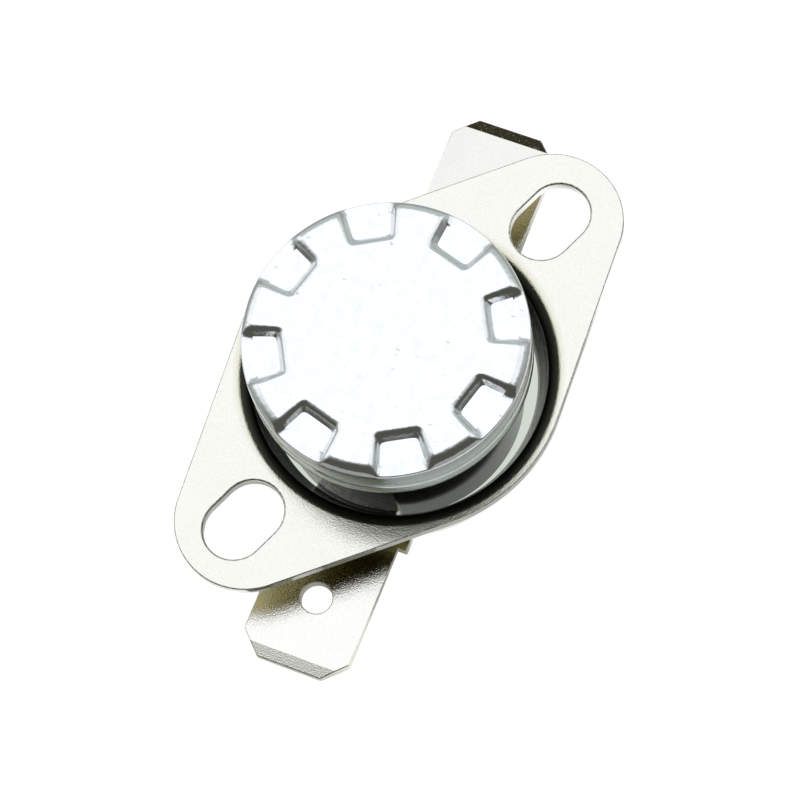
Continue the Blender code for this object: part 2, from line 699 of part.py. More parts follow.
def build():
    clear_scene()
    aluminium = material("cap_aluminium", (0.80, 0.82, 0.83), 0.32, 1.0)
    nickel = material("bracket_nickel", (0.78, 0.76, 0.70), 0.30, 1.0)
    tab_nickel = material("tab_nickel", (0.80, 0.78, 0.72), 0.24, 1.0)
    phenolic = material("case_phenolic", (0.025, 0.025, 0.025), 0.22, 0.0)
    ceramic = material("guide_ceramic", (0.86, 0.84, 0.78), 0.45, 0.0)
    bimetal = material("disc_bimetal", (0.56, 0.54, 0.50), 0.35, 1.0)
    bronze = material("blade_bronze", (0.80, 0.52, 0.28), 0.30, 1.0)
    brass = material("rivet_brass", (0.80, 0.62, 0.30), 0.30, 1.0)
    silver = material("contact_silver", (0.93, 0.92, 0.90), 0.22, 1.0)

    cap(aluminium)
    case(phenolic)
    mounting_bracket(nickel)
    terminal("terminal_front", 1, tab_nickel)
    terminal("terminal_back", -1, tab_nickel)
    rivet("rivet_front", 1, ROOT_BOTTOM + BRIDGE_THICKNESS, brass)
    rivet("rivet_back", -1, ROOT_BOTTOM + BLADE_THICKNESS, brass)
    guide_plate(ceramic)
    bimetal_disc(bimetal)
    set_origin(transfer_pin(ceramic), (0.0, 0.0, PIN_BOTTOM))
    fixed_contact_bridge(brass)
    contact("fixed_contact", BRIDGE_UNDER, BRIDGE_THICKNESS, -1, silver)
    blade = contact_arm(bronze)
    moving = contact("moving_contact", BLADE_TOP, BLADE_THICKNESS, 1, silver)
    blade_hinge([blade, moving])


build()
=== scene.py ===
"""Looks of the bimetal disc thermostat: pressed cap, black case, loose bracket, flat tabs and rivets."""

import math

import bmesh
import bpy
from mathutils import Matrix, Vector


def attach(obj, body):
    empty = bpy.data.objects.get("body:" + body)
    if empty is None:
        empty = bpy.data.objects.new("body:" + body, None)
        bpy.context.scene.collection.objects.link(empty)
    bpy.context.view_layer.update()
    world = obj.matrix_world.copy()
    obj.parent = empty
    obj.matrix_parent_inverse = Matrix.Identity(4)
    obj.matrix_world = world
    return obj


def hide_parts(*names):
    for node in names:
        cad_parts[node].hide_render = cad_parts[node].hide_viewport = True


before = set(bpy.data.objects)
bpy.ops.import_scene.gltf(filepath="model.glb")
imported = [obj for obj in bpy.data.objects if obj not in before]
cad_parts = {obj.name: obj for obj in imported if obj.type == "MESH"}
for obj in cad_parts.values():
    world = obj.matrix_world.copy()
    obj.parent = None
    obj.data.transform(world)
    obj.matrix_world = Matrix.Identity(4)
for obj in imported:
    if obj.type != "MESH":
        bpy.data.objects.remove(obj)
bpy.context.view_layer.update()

bl_info = {
    "name": "Bimetal disc thermostat",
    "version": (1, 0, 0),
    "blender": (4, 5, 0),
    "location": "3D View > Sidebar > Thermostat",
    "description": "Dresses the packed solids of a disc thermostat with its real surfaces",
    "category": "Object",
}

MM = 0.001
NEAR = 1e-6  # metres within which two places are the same


def number(name, description, default, **more):
    return bpy.props.FloatProperty(name=name, description=description, default=default, **more)


def length(name, description, default):
    """A size property in metres, given in millimetres."""
    return number(name, description, default * MM, unit="LENGTH", precision=6)


def angle(name, description, default):
    """An angle property, given in degrees."""
    return number(name, description, math.radians(default), unit="ROTATION")


def colour(name, description, default):
    return bpy.props.FloatVectorProperty(
        name=name, description=description, default=default, subtype="COLOR", size=3, min=0.0, max=1.0
    )


def share(name, description, default):
    return number(name, description, default, subtype="FACTOR", min=0.0, max=1.0)


class CapSettings(bpy.types.PropertyGroup):
    """Sizes of the pressed aluminium cap."""

    radius: length("Radius", "Outside of the skirt", 7.9)
    top: length("Top", "Sensing face over the foot", 11.4)
    height: length("Height", "Skirt's lower edge to the sensing face", 3.45)
    wall: length("Wall", "Thickness of the sheet", 0.45)
    shoulder: length("Shoulder", "Radius of the bend round the sensing face", 0.7)
    lip: length("Crimped lip", "Thickness of the edge rolled under the flange", 0.3)
    lip_radius: length("Lip radius", "Inner edge of the rolled lip", 7.15)
    roll: length("Roll", "Radius of the skirt's lower edge", 0.15)
    groove_up: length("Groove height", "Fine groove over the skirt's lower edge", 1.3)
    groove_depth: length("Groove depth", "Depth of the fine groove", 0.06)
    groove_width: length("Groove width", "Width of the fine groove", 0.24)
    pad_count: bpy.props.IntProperty(name="Pads", description="Pressed pads round the rim", default=8)
    pad_turn: angle("Pad turn", "Azimuth of the first pad", 29.0)
    pad_half: angle("Pad half angle", "Half of the angle between its sides", 9.74)
    pad_inner: length("Pad inner side", "Pad's inner side from the axis", 5.85)
    pad_depth: length("Pad depth", "How far the pads are pressed in", 0.5)
    pad_slope: angle("Pad slope", "Slope of a pad's walls", 55.0)
    pad_bend: length("Pad bend", "Bend at the top of a pad's wall", 0.45)


class CaseSettings(bpy.types.PropertyGroup):
    """Sizes of the moulded case."""

    neck: length("Neck", "Radius of the neck", 6.95)
    flange: length("Flange", "Radius of the flange inside the cap", 7.35)
    flange_bottom: length("Flange height", "Lower face of the flange", 8.3)
    rim_top: length("Rim height", "Top of the rim under the cap's pads", 10.4)
    rim_inner: length("Rim opening", "Inner radius of the rim", 6.75)
    step: length("Step height", "Ledge that carries the guide plate", 8.25)
    cavity: length("Cavity", "Radius of the cavity", 5.7)
    floor: length("Cavity floor", "Height of the cavity's floor", 2.6)
    chamfer: length("Foot chamfer", "Bevel round the foot", 0.7)
    edge: length("Edge", "Rounding of the moulded edges", 0.06)
    groove_depth: length("Groove depth", "Grooves for the tabs' roots", 1.54)
    groove_half: length("Groove half width", "Half of a groove's width", 2.5)
    barrier: length("Barrier", "Web between the grooves", 2.0)


class BracketSettings(bpy.types.PropertyGroup):
    """Sizes of the loose mounting bracket."""

    top: length("Top", "The sheet's upper face", 4.44)
    sheet: length("Sheet", "Thickness of the sheet", 0.7)
    edge: length("Edge", "Rounding of the sheared outline", 0.06)
    turn: angle("Turn", "Ears from the tabs", -23.5)
    shift_x: length("Shift along X", "The loose bracket's centre", -0.44)
    shift_y: length("Shift along Y", "The loose bracket's centre", -0.05)
    spacing: length("Screw spacing", "Between the slots' middles", 24.2)
    ear: length("Ear", "Radius of the ears", 4.1)
    near_ear: length("Near ear", "Near ear from the collar's axis", 11.88)
    near_aside: length("Near ear aside", "Near ear off the bracket's long axis", 0.09)
    far_ear: length("Far ear", "Far ear from the collar's axis", 12.15)
    hub: length("Hub", "Radius of the middle part", 9.4)
    slot_width: length("Slot width", "Width of the screw slots", 3.52)
    slot_length: length("Slot length", "Length of the screw slots", 4.93)
    slot_roll: length("Slot roll", "Rounding of the slots' upper edge", 0.11)
    mouth: length("Mouth", "Radius where the sheet begins to bend", 9.15)
    bend: length("Bend", "Radius of the bend into the collar", 0.85)
    lip: length("Lip", "Inner radius of the collar's lower edge", 7.65)
    depth: length("Collar depth", "Sheet's top to the collar's lower edge", 2.7)


class TabSettings(bpy.types.PropertyGroup):
    """Sizes of the two flat tabs."""

    width: length("Width", "Width of a tab", 6.3)
    under: length("Underside", "Height of the lower face", 0.64)
    thickness: length("Thickness", "Thickness of the strip", 0.8)
    reach: length("Reach", "Tip from the axis", 16.95)
    corner: length("Tip corner", "Cut-off at the tip's corners", 1.25)
    longer: length("Longer", "How much further the far tab reaches", 0.18)
    bevel: length("Tip bevel", "Length of the thinned tip", 0.68)
    drop: length("Tip drop", "Taken off each face at the tip", 0.127)
    hole: length("Latch hole", "Radius of the latch hole", 0.9)
    hole_at: length("Latch hole place", "Latch hole from the axis", 12.75)
    shoulder_width: length("Shoulder width", "Width over the stop shoulders", 7.4)
    shoulder_start: length("Shoulder start", "Inner end of the shoulders", 7.6)
    shoulder_end: length("Shoulder end", "Outer end of the shoulders", 8.5)
    root_width: length("Root width", "Width under the case", 4.8)
    root_start: length("Root start", "Inner end of the root", 1.1)
    edge: length("Edge", "Rounding of the sheared outline", 0.05)


class RivetSettings(bpy.types.PropertyGroup):
    """Sizes of the rivets."""

    at: length("Place", "Distance from the axis", 3.7)
    shank: length("Shank", "Radius of the shank", 0.8)
    hole: length("Hole", "Radius of the holes for the shanks", 0.9)
    head: length("Head", "Radius of the head", 1.1)
    head_height: length("Head height", "Thickness of the head", 0.45)
    round: length("Round", "Of head and tail", 0.13)
    tail: length("Tail", "Radius of the spread tail", 1.2)
    tail_bottom: length("Tail bottom", "Height of the tail's end", 0.19)
    tail_top: length("Tail top", "Height of the tail's seat", 0.59)
    dimple: length("Dimple", "Radius of the dimple in the tail", 0.6)
    dimple_floor: length("Dimple floor", "Radius of the dimple's floor", 0.35)
    dimple_depth: length("Dimple depth", "Depth of the dimple", 0.45)
    front_seat: length("Front seat", "Height of the front rivet's head", 3.1)
    back_seat: length("Back seat", "Height of the back rivet's head", 2.9)


class FinishSettings(bpy.types.PropertyGroup):
    """Colours and roughness of the surfaces."""

    cap: colour("Cap", "Bare aluminium", (0.95, 0.96, 0.96))
    # Painted shade: the drawn wall's colour is darker than the top's to stand for the shade on it
    skirt: colour("Skirt", "The cap's drawn wall", (0.62, 0.68, 0.665))
    cap_rough: share("Cap roughness", "Satin of the pressed sheet", 0.13)
    nickel: colour("Bracket", "Warm nickel plating", (0.90, 0.88, 0.765))
    # Painted shade: the bend's and the collar's colours stand for the shade over the bend and inside the
    # collar
    bend: colour("Bend", "Over the collar's bend", (0.72, 0.69, 0.52))
    collar: colour("Collar", "Inside of the collar", (0.065, 0.063, 0.045))
    # Painted shade: the lower face's colour is darker than the upper face's
    underside: colour("Underside", "The bracket's lower face", (0.42, 0.385, 0.22))
    nickel_rough: share("Bracket roughness", "Satin of the plated sheet", 0.12)
    burnished: colour("Cut walls", "Walls rubbed by the punch", (0.97, 0.965, 0.94))
    # Painted shade: the sheared edges are the plate's colour darkened
    cut: colour("Cut edges", "The bracket's sheared edges", (0.60, 0.59, 0.50))
    tab: colour("Tabs", "Nickel-plated strip", (0.94, 0.915, 0.81))
    tab_rough: share("Tab roughness", "Satin of the strip", 0.07)
    # Painted shade: the far tab's thinned tip is painted near black and brown
    tarnish: colour("Tarnish", "The far tab's tip", (0.045, 0.04, 0.022))
    case: colour("Case", "Black phenolic", (0.020, 0.024, 0.023))
    case_rough: share("Case roughness", "Gloss of the moulding", 0.18)
    brass: colour("Brass", "Rivets and bridge", (0.80, 0.62, 0.30))
    ceramic: colour("Ceramic", "Guide plate and pin", (0.80, 0.78, 0.72))
    bimetal: colour("Bimetal", "Rolled disc", (0.50, 0.48, 0.44))
    bronze: colour("Bronze", "Spring blade", (0.74, 0.46, 0.24))
    silver: colour("Silver", "Contacts", (0.90, 0.89, 0.86))


class StageSettings(bpy.types.PropertyGroup):
    """Camera, floor and light."""

    target_x: length("Target X", "Where the camera looks", 1.5654)
    target_y: length("Target Y", "Where the camera looks", 0.9759)
    target_z: length("Target Z", "Where the camera looks", 5.7)
    azimuth: angle("Azimuth", "Camera's direction, from +X towards +Y", 36.879)
    elevation: angle("Elevation", "Camera over the horizon", 70.838)
    roll: angle("Roll", "Camera's turn about its own axis", -15.96)
    distance: length("Distance", "From the target to the camera", 193.252)
    lens: number("Lens", "Focal length in mm", 157.5)
    floor: colour("Floor", "Pale floor", (0.72, 0.72, 0.72))
    seen: colour("Seen floor", "Light that the seen floor gives back", (0.32, 0.32, 0.33))
    # Painted light and shade on the floor: the shaded floor is painted shadow where the camera sees it and a
    # painted glow where the metal sees it; the mirrored, glowing and far floors are painted rings that the
    # metal sees
    glow: colour("Floor glow", "How bright the seen floor is by itself", (0.97, 0.97, 0.97))
    shaded: colour("Shaded floor", "The same under the case", (0.585, 0.63, 0.57))
    mirrored: colour("Mirrored floor", "Floor by the case, as the metal sees it", (0.36, 0.37, 0.35))
    beyond: colour("Far floor", "Floor further off, as the metal sees it", (0.16, 0.17, 0.15))
    back: colour("Back wall", "The lighter side of the studio", (0.485, 0.54, 0.515))
    front: colour("Front wall", "The darker side of the studio", (0.08, 0.08, 0.068))
    back_azimuth: angle("Back azimuth", "Direction of the lighter side", 205.0)


SETTINGS = {
    "cap": CapSettings,
    "case": CaseSettings,
    "bracket": BracketSettings,
    "tab": TabSettings,
    "rivet": RivetSettings,
    "finish": FinishSettings,
    "stage": StageSettings,
}


def given(name):
    """The settings of a piece, of the finishes or of the stage."""
    return getattr(bpy.context.scene, f"thermostat_{name}")


# Modelling helpers


def started(name):
    """The primitive that was just added, under its own name and as the only selected object."""
    obj = bpy.context.object
    obj.name = name
    obj.data.name = name
    return obj


def only(obj):
    bpy.ops.object.select_all(action="DESELECT")
    obj.select_set(True)
    bpy.context.view_layer.objects.active = obj


def edit(obj, mode="VERT", chosen="DESELECT"):
    """Opens a piece in edit mode with nothing selected, or all of it."""
    only(obj)
    bpy.ops.object.mode_set(mode="EDIT")
    bpy.ops.mesh.select_mode(type=mode)
    bpy.ops.mesh.select_all(action=chosen)


def done(obj):
    bpy.ops.object.mode_set(mode="OBJECT")
    return obj


def select(obj, kind, test):
    """Selects the vertices, edges or faces that pass a test, and nothing else."""
    bpy.ops.mesh.select_all(action="DESELECT")
    bm = bmesh.from_edit_mesh(obj.data)
    for item in getattr(bm, kind):
        item.select_set(test(item))
    bm.select_flush_mode()
    bmesh.update_edit_mesh(obj.data)


def apply(obj, kind, **values):
    """Adds a modifier and applies it."""
    only(obj)
    modifier = obj.modifiers.new(kind.title(), kind)
    for key, value in values.items():
        setattr(modifier, key, value)
    bpy.ops.object.modifier_apply(modifier=modifier.name)


def cut(obj, cutter, operation="DIFFERENCE"):
    """Cuts a piece with another, or joins it to another, and removes the other."""
    apply(obj, "BOOLEAN", object=cutter, operation=operation, solver="EXACT")
    bpy.data.objects.remove(cutter, do_unlink=True)


def tidy(obj, smooth=30.0):
    """Merges doubles, turns the faces out and shades smooth between the sharp edges."""
    edit(obj, chosen="SELECT")
    bpy.ops.mesh.remove_doubles(threshold=0.1 * NEAR)
    bpy.ops.mesh.normals_make_consistent(inside=False)
    done(obj)
    only(obj)
    bpy.ops.object.shade_smooth_by_angle(angle=math.radians(smooth))


def arc(center, radius, start, end, steps):
    """Points of an arc, from angle start to angle end in degrees."""
    turn = [math.radians(start + (end - start) * i / steps) for i in range(steps + 1)]
    return [(center[0] + radius * math.cos(a), center[1] + radius * math.sin(a)) for a in turn]


def extrude_rings(start, rings):
    """Extrudes the selected ring about the axis along (radius, height) places."""
    radius, height = start
    for next_radius, next_height in rings:
        rise = (0.0, 0.0, next_height - height)
        bpy.ops.mesh.extrude_region_move(TRANSFORM_OT_translate={"value": rise})
        grow = next_radius / radius
        bpy.ops.transform.resize(value=(grow, grow, 1.0), center_override=(0.0, 0.0, next_height))
        radius, height = next_radius, next_height


def close_ring():
    """Draws the selected ring to its middle."""
    bpy.ops.mesh.extrude_region_move()
    bpy.ops.mesh.merge(type="CENTER")


def drawn_up(name, profile, sides):
    """A round piece: a circle extruded ring by ring along a (radius, height) profile.

    A profile that starts or ends on the axis is closed there."""
    rings = [point for point in profile if point[0] > 0.0]
    radius, height = rings[0]
    bpy.ops.mesh.primitive_circle_add(vertices=sides, radius=radius, location=(0.0, 0.0, height))
    bpy.ops.object.transform_apply(location=True)
    obj = started(name)
    edit(obj, chosen="SELECT")
    if profile[0][0] == 0.0:
        close_ring()
        select(obj, "verts", lambda v: v.co.xy.length > 0.5 * radius)
    extrude_rings(rings[0], rings[1:])
    if profile[-1][0] == 0.0:
        close_ring()
    return done(obj)


def peg(name, at, radius, bottom, top, sides=64):
    """A round cutter."""
    bpy.ops.mesh.primitive_cylinder_add(
        vertices=sides, radius=radius, depth=top - bottom, location=(*at, 0.5 * (bottom + top))
    )
    bpy.ops.object.transform_apply(location=True)
    return started(name)


def block(name, low, high):
    """A square cutter or start of a piece, between two corners."""
    low, high = Vector(low), Vector(high)
    bpy.ops.mesh.primitive_cube_add(size=1.0, location=0.5 * (low + high))
    bpy.context.object.scale = high - low
    bpy.ops.object.transform_apply(location=True, scale=True)
    return started(name)


def turn_about_axis(obj, turn, shift=(0.0, 0.0)):
    """Turns a finished piece about the vertical axis and moves it sideways, with its place in its mesh."""
    obj.data.transform(Matrix.Translation((*shift, 0.0)) @ Matrix.Rotation(turn, 4, "Z"))


def dress(obj, finish, body, slot, *nodes):
    """Gives a piece its finish, its body and the solid that it stands for; the record slot is not used."""
    obj.data.materials.clear()
    obj.data.materials.append(finish)
    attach(obj, body)
    if nodes:
        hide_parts(*nodes)


# Cap


def wall_foot(cap):
    """How far out a pad's wall goes straight up from the floor, before it bends to the flat top."""
    rise = cap.pad_depth - cap.pad_bend * (1.0 - math.cos(cap.pad_slope))
    return rise / math.tan(cap.pad_slope)


def wall_height(cap, out):
    """How high a pad's wall stands over the floor at a distance out from the floor's outline."""
    foot = wall_foot(cap)
    if out < foot:
        return out * math.tan(cap.pad_slope)
    lean = math.sin(cap.pad_slope) - (out - foot) / cap.pad_bend
    if lean < 0.0:
        return cap.pad_depth
    return cap.pad_depth - cap.pad_bend * (1.0 - math.sqrt(1.0 - lean * lean))


def pad_contours(cap):
    """Distances from a pad's floor of the lines that run round it, out to the flat top."""
    foot = wall_foot(cap)
    width = cap.pad_bend * math.sin(cap.pad_slope)
    return [0.0, 0.5 * foot, foot] + [foot + part * width for part in (0.25, 0.5, 0.75, 1.0)]


def cap_rings(cap, contours):
    """(radius, height) rings of the cap's outside, from its middle to the skirt's lower edge."""
    inner = cap.pad_inner
    start = cap.radius - cap.shoulder
    bottom = cap.top - cap.height
    groove = bottom + cap.groove_up
    rings = [(part * inner, cap.top) for part in (0.0, 0.3, 0.6, 0.82)]
    rings += [(inner - out, cap.top) for out in reversed(contours)]
    rings += [(inner + part * (start - inner), cap.top) for part in (0.25, 0.55, 0.85)]
    rings += arc((start, cap.top - cap.shoulder), cap.shoulder, 90, 0, 10)
    rings.append((cap.radius, 0.5 * (cap.top - cap.shoulder + groove)))
    for up, depth in ((1.2, 0.0), (0.5, 0.0), (0.2, 1.0), (-0.2, 1.0), (-0.5, 0.0), (-1.2, 0.0)):
        rings.append((cap.radius - depth * cap.groove_depth, groove + up * cap.groove_width))
    rings += arc((cap.radius - cap.roll, bottom + cap.roll), cap.roll, 0, -90, 4)
    return rings


def cap_columns(cap, contours):
    """Angles of the cap's upright lines, from a pad's middle to the middle of the land beside it."""
    middle = 0.5 * (cap.pad_inner + cap.radius)
    columns = [0.0, 0.5 * cap.pad_half]
    columns += [cap.pad_half + out / middle for out in contours]
    land = math.pi / cap.pad_count
    last = columns[-1]
    columns += [last + part * (land - last) for part in (0.2, 0.6, 1.0)]
    return columns


def press_pads(obj, cap, contours, columns):
    """Moves the upright lines to the pads' sides, squares the pads' inner sides and presses the pads."""
    half = len(columns) - 1
    lines = 2 * half
    step = math.tau / (lines * cap.pad_count)
    place = {}
    for vert in obj.data.vertices:
        line = round(math.atan2(vert.co.y, vert.co.x) / step) % lines
        place[vert.index] = (line if line <= half else line - lines, vert.co.xy.length)
    edit(obj)
    for line in range(1 - half, half):
        select(obj, "verts", lambda v: place[v.index][0] == line)
        turn = math.copysign(columns[abs(line)], line) - line * step
        bpy.ops.transform.rotate(value=-turn, orient_axis="Z", center_override=(0.0, 0.0, 0.0))
    first, last = cap.pad_inner - contours[-1] - NEAR, cap.pad_inner + NEAR
    for line in range(1, half + 1):
        select(obj, "verts", lambda v: abs(place[v.index][0]) == line and first < place[v.index][1] < last)
        grow = 1.0 / math.cos(min(columns[line], cap.pad_half))
        bpy.ops.transform.resize(value=(grow, grow, 1.0), center_override=(0.0, 0.0, 0.0))
    floor = cap.top - cap.pad_depth

    def zone(vert):
        """Which line beside the floor and which line before its inner side a vertex lies on."""
        line, radius = place[vert.index]
        before = cap.pad_inner - radius
        inward = min(range(len(contours)), key=lambda k: abs(contours[k] - before)) if before > 0.0 else 0
        return max(0, abs(line) - 2), inward if before < contours[-1] + NEAR else len(contours)

    zones = {v.index: zone(v) for v in obj.data.vertices if v.co.z > floor}
    for side, sideways in enumerate(contours):
        for inner, inwards in enumerate(contours):
            height = wall_height(cap, math.hypot(sideways, inwards))
            if height < cap.pad_depth:
                select(obj, "verts", lambda v: zones.get(v.index) == (side, inner))
                left = (1.0, 1.0, height / cap.pad_depth)
                bpy.ops.transform.resize(value=left, center_override=(0.0, 0.0, floor))
    done(obj)


class THERMOSTAT_OT_cap(bpy.types.Operator):
    """Press the aluminium cap with its eight pads"""

    bl_idname = "thermostat.cap"
    bl_label = "Cap"

    def execute(self, context):
        cap = given("cap")
        contours = pad_contours(cap)
        columns = cap_columns(cap, contours)
        sides = 2 * (len(columns) - 1) * cap.pad_count
        obj = drawn_up("pressed_cap", cap_rings(cap, contours), sides)
        press_pads(obj, cap, contours, columns)
        self.crease_floors(obj, cap)
        apply(obj, "SUBSURF", levels=1, render_levels=1)
        self.roll_lip(obj, cap, contours)
        tidy(obj, 40.0)
        turn_about_axis(obj, cap.pad_turn)
        dress(obj, cap_finish(), "root", "cap_aluminium", "cap")
        return {"FINISHED"}

    def crease_floors(self, obj, cap):
        """Keeps the edge round each pad's floor sharp, but not at the cap's shoulder."""
        floor, rim = cap.top - cap.pad_depth, cap.radius - cap.shoulder
        edit(obj, "EDGE")
        select(obj, "edges", lambda e: is_floor_edge(e, floor) and min(v.co.xy.length for v in e.verts) < rim)
        bpy.ops.transform.edge_crease(value=1.0)
        done(obj)

    def roll_lip(self, obj, cap, contours):
        """Carries the skirt's lower edge in under the case's flange, and up the inside to the axis."""
        bottom = cap.top - cap.height
        inner = cap.radius - cap.wall
        back = cap.top - cap.pad_depth - cap.wall
        step = cap.pad_inner - contours[-1] - cap.wall
        inside = [
            (cap.lip_radius, bottom),
            (cap.lip_radius, bottom + cap.lip),
            (inner, bottom + cap.lip),
            (inner, back),
            (step, back),
            (step, cap.top - cap.wall),
        ]
        edit(obj, "EDGE")
        select(obj, "edges", lambda e: e.is_boundary)
        extrude_rings((cap.radius - cap.roll, bottom), inside)
        close_ring()
        done(obj)


def is_floor_edge(edge, floor):
    """Whether an edge lies between a pad's flat floor and the wall round it."""
    if any(abs(v.co.z - floor) > NEAR for v in edge.verts):
        return False
    flat = [all(abs(v.co.z - floor) < NEAR for v in face.verts) for face in edge.link_faces]
    return any(flat) and not all(flat)


# Case


class THERMOSTAT_OT_case(bpy.types.Operator):
    """Mould the black case with its flange, cavity and grooves."""

    bl_idname = "thermostat.case"
    bl_label = "Case"

    def execute(self, context):
        case, rivet = given("case"), given("rivet")
        profile = [(0.0, 0.0), (case.neck - case.chamfer, 0.0)]
        radii = (case.neck, case.flange, case.rim_inner, case.cavity)
        heights = (case.chamfer, case.flange_bottom, case.rim_top, case.step, case.floor)
        for radius, start, end in zip(radii, heights, heights[1:]):
            profile += [(radius, start), (radius, end)]
        profile.append((0.0, case.floor))
        obj = drawn_up("moulded_case", profile, 160)
        tidy(obj)
        past = 2.0 * case.neck
        for side in (-1, 1):
            left, right = sorted((side * 0.5 * case.barrier, side * past))
            low = (left, -case.groove_half, -case.groove_depth)
            cut(obj, block("groove", low, (right, case.groove_half, case.groove_depth)))
            cut(obj, peg("hole", (side * rivet.at, 0.0), rivet.hole, 0.0, 2.0 * case.floor, 48))
        apply(obj, "BEVEL", width=case.edge, segments=2, limit_method="ANGLE", angle_limit=math.radians(40))
        tidy(obj)
        dress(obj, case_finish(), "root", "case_phenolic", "case")
        return {"FINISHED"}


# Bracket


# How far a face's normal points up: a broken edge, and below which a face is the underside
BRACKET_EDGE = (0.2, 0.985)
UNDERSIDE = -0.3


def wrapped(pegs):
    """Joins round pieces and wraps them by tangents."""
    first = pegs[0]
    only(first)
    for other in pegs[1:]:
        other.select_set(True)
    bpy.ops.object.join()
    edit(first, chosen="SELECT")
    bpy.ops.mesh.convex_hull()
    bpy.ops.mesh.dissolve_limited(angle_limit=math.radians(0.2))
    return done(first)


def bracket_outline(bracket):
    """The sheet: two ears and a hub, wrapped by tangents, with its sheared edges broken."""
    bottom = bracket.top - bracket.sheet
    ears = ((bracket.near_ear, bracket.near_aside), (-bracket.far_ear, 0.0))
    hub = peg("loose_bracket", (0.0, 0.0), bracket.hub, bottom, bracket.top, 288)
    wrapped([hub, *(peg("ear", at, bracket.ear, bottom, bracket.top, 128) for at in ears)])
    edit(hub, "EDGE")
    select(hub, "edges", lambda e: abs(e.verts[0].co.z - e.verts[1].co.z) < NEAR)
    bpy.ops.mesh.bevel(offset=bracket.edge, segments=3, profile=0.5, affect="EDGES")
    return done(hub)


def screw_slot(bracket, side):
    """The punch of one screw slot: two round ends wrapped."""
    low, high = bracket.top - 2.0 * bracket.sheet, bracket.top + bracket.sheet
    reach = 0.5 * (bracket.slot_length - bracket.slot_width)
    middle = side * 0.5 * bracket.spacing
    radius = 0.5 * bracket.slot_width
    return wrapped([peg("slot", (middle + way * reach, 0.0), radius, low, high, 96) for way in (-1, 1)])


def collar_rings(bracket):
    """(radius, height) rings of the drawn collar, from the sheet's top down inside and up outside."""
    lip = bracket.top - bracket.depth
    flare = bracket.mouth - bracket.lip
    middle = (bracket.mouth, bracket.top - bracket.bend)
    rise = middle[1] - lip
    lean = math.atan2(rise, flare) + math.asin(bracket.bend / math.hypot(flare, rise))
    turned = 90.0 + math.degrees(lean)
    rings = arc(middle, bracket.bend, 90, turned, 14)[1:]
    radius, height = rings[-1]
    for part in (0.25, 0.5, 0.75):
        rings.append((radius + (bracket.lip - radius) * part, height + (lip - height) * part))
    edge = bracket.edge
    rings += arc((bracket.lip + edge, lip + edge), edge, turned, 270, 4)
    outer_lip = bracket.lip + bracket.sheet / math.sin(lean)
    rings += arc((outer_lip - edge, lip + edge), edge, 270, 180 + turned, 4)
    rings += arc(middle, bracket.bend - bracket.sheet, turned, 90, 5)[:-1]
    return rings


class THERMOSTAT_OT_bracket(bpy.types.Operator):
    """Press the bracket: outline, two slots and the collar drawn down round the neck."""

    bl_idname = "thermostat.bracket"
    bl_label = "Bracket"

    def execute(self, context):
        bracket = given("bracket")
        obj = bracket_outline(bracket)
        low = bracket.top - 2.0 * bracket.sheet
        cut(obj, peg("mouth", (0.0, 0.0), bracket.mouth, low, bracket.top + bracket.sheet, 288))
        for side in (-1, 1):
            cut(obj, screw_slot(bracket, side))
        self.roll_slots(obj, bracket)
        self.draw_collar(obj, bracket)
        tidy(obj, 30.0)
        apply(obj, "WEIGHTED_NORMAL", keep_sharp=True, weight=90)
        turn_about_axis(obj, bracket.turn, (bracket.shift_x, bracket.shift_y))
        dress(obj, nickel_finish(), "bracket", "bracket_nickel", "mounting_bracket")
        burnished = plain_metal("burnished_wall", "burnished", 0.15)
        self.tell_faces(obj, bracket, edge_finish(), underside_finish(), burnished)
        return {"FINISHED"}

    def tell_faces(self, obj, bracket, cut_edge, underside, burnished):
        """Gives the sheared edges, the cut walls and the underside their own surfaces."""
        for finish in (cut_edge, underside, burnished):
            obj.data.materials.append(finish)
        middle = Vector((bracket.shift_x, bracket.shift_y))
        wall, flat = BRACKET_EDGE
        for face in obj.data.polygons:
            out = (face.center.xy - middle).length > bracket.hub - 2.0 * bracket.edge
            # Sheared edges: painted darker as shade
            if out and wall < face.normal.z < flat:
                face.material_index = 1
            # The underside gets its yellower finish with painted shade
            elif face.normal.z < UNDERSIDE:
                face.material_index = 2
            elif out and face.normal.z < wall:
                face.material_index = 3

    def roll_slots(self, obj, bracket):
        """Rounds the upper edge of the two slots."""

        def is_rim(edge):
            """Whether an edge lies between the sheet's top and a slot's wall."""
            on_top = all(abs(v.co.z - bracket.top) < NEAR for v in edge.verts)
            on_wall = any(abs(f.normal.z) < 0.1 for f in edge.link_faces)
            return on_top and on_wall and edge.verts[0].co.xy.length > bracket.mouth + NEAR

        edit(obj, "EDGE")
        select(obj, "edges", is_rim)
        bpy.ops.mesh.bevel(offset=bracket.slot_roll, segments=4, profile=0.5, affect="EDGES")
        done(obj)

    def draw_collar(self, obj, bracket):
        """Takes the hole's wall out and carries its upper edge round the collar to its lower edge."""
        edit(obj, "FACE")
        wall = bracket.mouth + 10.0 * NEAR
        select(obj, "faces", lambda f: all(v.co.xy.length < wall for v in f.verts))
        bpy.ops.mesh.delete(type="FACE")
        bpy.ops.mesh.select_mode(type="EDGE")
        middle = bracket.top - 0.5 * bracket.sheet
        select(obj, "edges", lambda e: e.is_boundary and e.verts[0].co.z > middle)
        extrude_rings((bracket.mouth, bracket.top), collar_rings(bracket))
        select(obj, "edges", lambda e: e.is_boundary)
        bpy.ops.mesh.bridge_edge_loops()
        done(obj)


# Tabs


# How far a face's normal points up: a sheared edge, and the thinned tip
TAB_EDGE = (0.15, 0.94)
TAB_TIP = (0.94, 0.99)


def is_upright(edge):
    """Whether an edge stands along the vertical axis."""
    return (edge.verts[0].co - edge.verts[1].co).xy.length < NEAR


